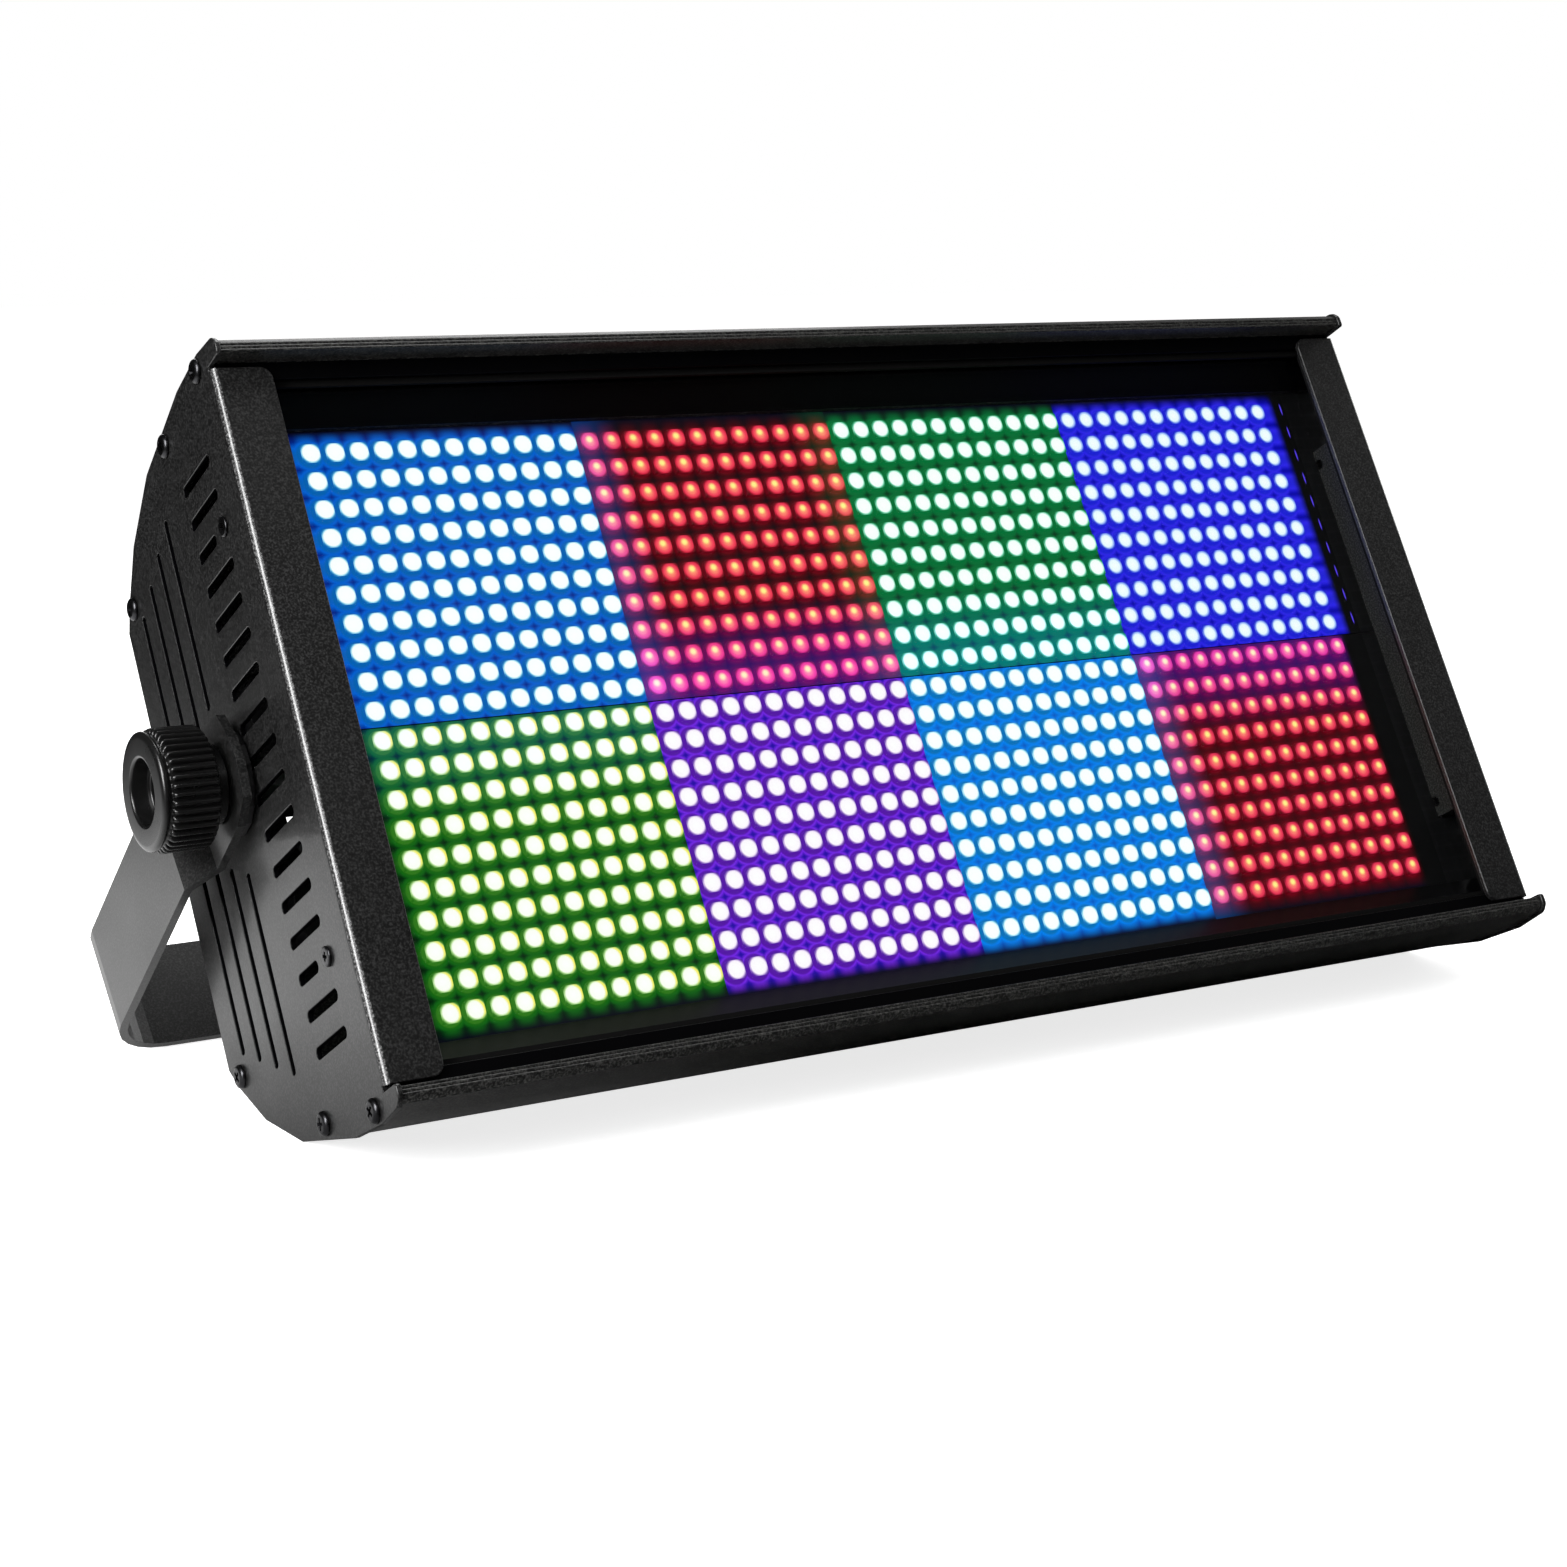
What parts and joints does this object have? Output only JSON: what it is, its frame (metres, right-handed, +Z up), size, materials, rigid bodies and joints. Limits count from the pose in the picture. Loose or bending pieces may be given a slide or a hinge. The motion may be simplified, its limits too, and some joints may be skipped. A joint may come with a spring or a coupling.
{
  "type": "strobe light",
  "caption": "Wide stage strobe light with a glazed field of coloured LEDs, vented end plates, ribbed clamping knobs and a tilting bracket it stands on.",
  "frame": {"origin": "centre of the bounding box in plan, on the surface that the lamp stands on", "axes": "+X along the lamp to its right end, +Y to the back, +Z up; the LED face looks to -Y and up"},
  "size_m": [0.453, 0.2016, 0.2121],
  "materials": {
    "black_paint": "fine-textured satin black powder coat",
    "black_plastic": "fine-grained moulded black",
    "black_steel": "black oxide",
    "clear_glass": "clear and polished",
    "black_rubber": "matt",
    "led_board": "metal-core board with black solder mask",
    "green_board": "glass-fibre board with green solder mask",
    "aluminium": "bare extrusion",
    "zinc_steel": "zinc plated",
    "supply_case": "stands for a sheet case full of electronics",
    "display_screen": "dark blue screen",
    "grey_plastic": "moulded grey",
    "blue_plastic": "moulded blue"
  },
  "bodies": {
    "head": {"left_end_plate": "black_paint", "right_end_plate": "black_paint", "upper_shell": "black_paint", "lower_shell": "black_paint", "rear_panel": "black_paint", "front_glass": "clear_glass", "glass_gasket": "black_rubber", "left_glass_strip": "black_paint", "right_glass_strip": "black_paint", "upper_led_board": "led_board", "lower_led_board": "led_board", "heat_sink": "aluminium", "power_supply": "supply_case", "driver_board": "green_board", "control_board": "green_board", "display": "display_screen", "dmx_in": "black_plastic", "dmx_out": "black_plastic", "power_inlet": "blue_plastic", "power_outlet": "grey_plastic", "fuse_holder": "black_plastic", "left_fan_frame": "black_plastic", "right_fan_frame": "black_plastic", "safety_eye": "black_steel", "left_upper_front_screw": "black_steel", "left_upper_crown_screw": "black_steel", "left_upper_rear_screw": "black_steel", "left_upper_glass_screw": "black_steel", "left_upper_panel_screw": "black_steel", "left_lower_front_screw": "black_steel", "left_lower_crown_screw": "black_steel", "left_lower_rear_screw": "black_steel", "left_lower_glass_screw": "black_steel", "left_lower_panel_screw": "black_steel", "right_upper_front_screw": "black_steel", "right_upper_crown_screw": "black_steel", "right_upper_rear_screw": "black_steel", "right_upper_glass_screw": "black_steel", "right_upper_panel_screw": "black_steel", "right_lower_front_screw": "black_steel", "right_lower_crown_screw": "black_steel", "right_lower_rear_screw": "black_steel", "right_lower_glass_screw": "black_steel", "right_lower_panel_screw": "black_steel", "left_pivot_nut": "zinc_steel", "left_washer": "black_plastic", "right_pivot_nut": "zinc_steel", "right_washer": "black_plastic"},
    "bracket": {"bracket": "black_paint"},
    "left_fan": {"left_fan_rotor": "black_plastic"},
    "right_fan": {"right_fan_rotor": "black_plastic"},
    "left_clamp": {"left_knob": "black_plastic", "left_knob_bolt": "black_steel"},
    "right_clamp": {"right_knob": "black_plastic", "right_knob_bolt": "black_steel"},
    "menu": {"menu_button": "grey_plastic"},
    "up": {"up_button": "grey_plastic"},
    "down": {"down_button": "grey_plastic"},
    "enter": {"enter_button": "grey_plastic"},
    "fuse": {"fuse_cap": "black_plastic"}
  },
  "joints": [
    {"name": "bracket_tilt", "type": "hinge", "parent": "head", "child": "bracket", "pos_m": [0, -0.00107, 0.09219], "axis": [1, 0, 0], "range_deg": [-87, 112]},
    {"name": "left_clamp_turn", "type": "hinge", "parent": "head", "child": "left_clamp", "pos_m": [-0.2185, -0.00107, 0.09219], "axis": [-1, 0, 0], "range_deg": [0, 360]},
    {"name": "right_clamp_turn", "type": "hinge", "parent": "head", "child": "right_clamp", "pos_m": [0.2185, -0.00107, 0.09219], "axis": [1, 0, 0], "range_deg": [0, 360]},
    {"name": "left_fan_spin", "type": "hinge", "parent": "head", "child": "left_fan", "pos_m": [-0.14, 0.03398, 0.07291], "axis": [0, 0.8763, -0.4818], "continuous": true},
    {"name": "right_fan_spin", "type": "hinge", "parent": "head", "child": "right_fan", "pos_m": [0.14, 0.03398, 0.07291], "axis": [0, 0.8763, -0.4818], "continuous": true},
    {"name": "menu_press", "type": "slide", "parent": "head", "child": "menu", "axis": [0, -0.8763, 0.4818], "range_m": [0, 0.001], "stiffness_N_per_m": 300, "springref_m": -0.001},
    {"name": "up_press", "type": "slide", "parent": "head", "child": "up", "axis": [0, -0.8763, 0.4818], "range_m": [0, 0.001], "stiffness_N_per_m": 300, "springref_m": -0.001},
    {"name": "down_press", "type": "slide", "parent": "head", "child": "down", "axis": [0, -0.8763, 0.4818], "range_m": [0, 0.001], "stiffness_N_per_m": 300, "springref_m": -0.001},
    {"name": "enter_press", "type": "slide", "parent": "head", "child": "enter", "axis": [0, -0.8763, 0.4818], "range_m": [0, 0.001], "stiffness_N_per_m": 300, "springref_m": -0.001},
    {"name": "fuse_cap_turn", "type": "hinge", "parent": "head", "child": "fuse", "pos_m": [0, 0.0353, 0.03795], "axis": [0, 0.8763, -0.4818], "range_deg": [0, 90]}
  ]
}
